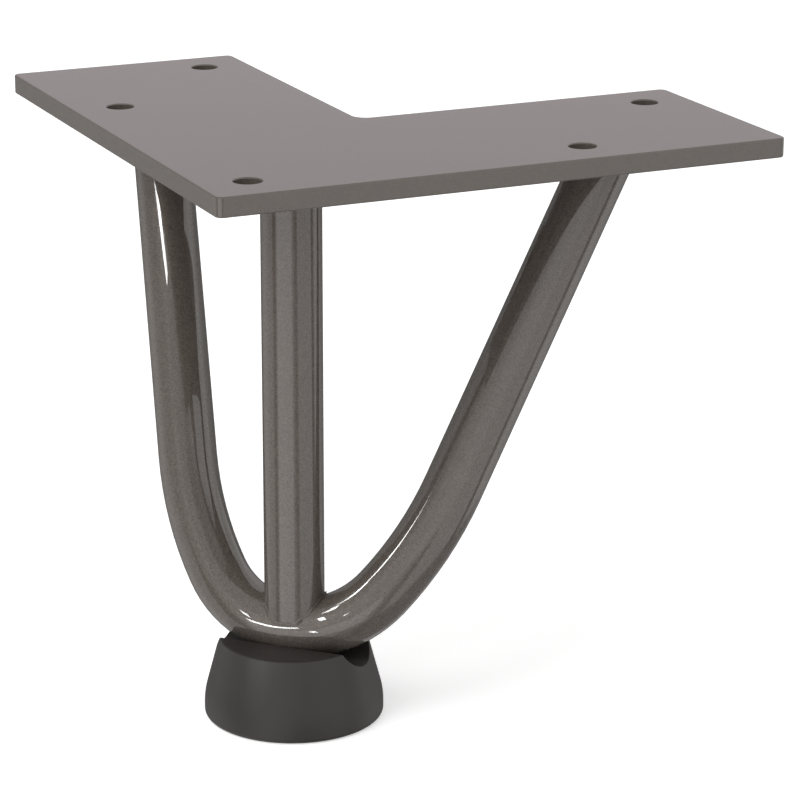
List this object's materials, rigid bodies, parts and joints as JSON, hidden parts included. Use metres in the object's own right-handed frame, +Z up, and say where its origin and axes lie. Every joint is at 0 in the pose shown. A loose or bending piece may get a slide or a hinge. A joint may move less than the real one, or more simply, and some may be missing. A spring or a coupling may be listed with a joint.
{
  "type": "hairpin table leg",
  "caption": "Short welded leg of round steel rod: an L-shaped screw-on plate, a hairpin bend, an upright rod and a moulded foot.",
  "frame": {"origin": "centre of the foot's flat underside", "axes": "+Z up, square to the plate's top face; +X and +Y along the plate's two arms, away from its corner"},
  "size_m": [0.12, 0.12, 0.1142],
  "materials": {
    "coated_steel": "glossy anthracite coating with fine metallic flake",
    "foot": "smooth moulded, matt to satin"
  },
  "bodies": {
    "root": {"top_plate": "coated_steel", "bent_rod": "coated_steel", "straight_rod": "coated_steel", "weld_x_limb": "coated_steel", "weld_y_limb": "coated_steel", "weld_straight_rod": "coated_steel", "rod_weld": "coated_steel", "foot": "foot"}
  },
  "joints": []
}
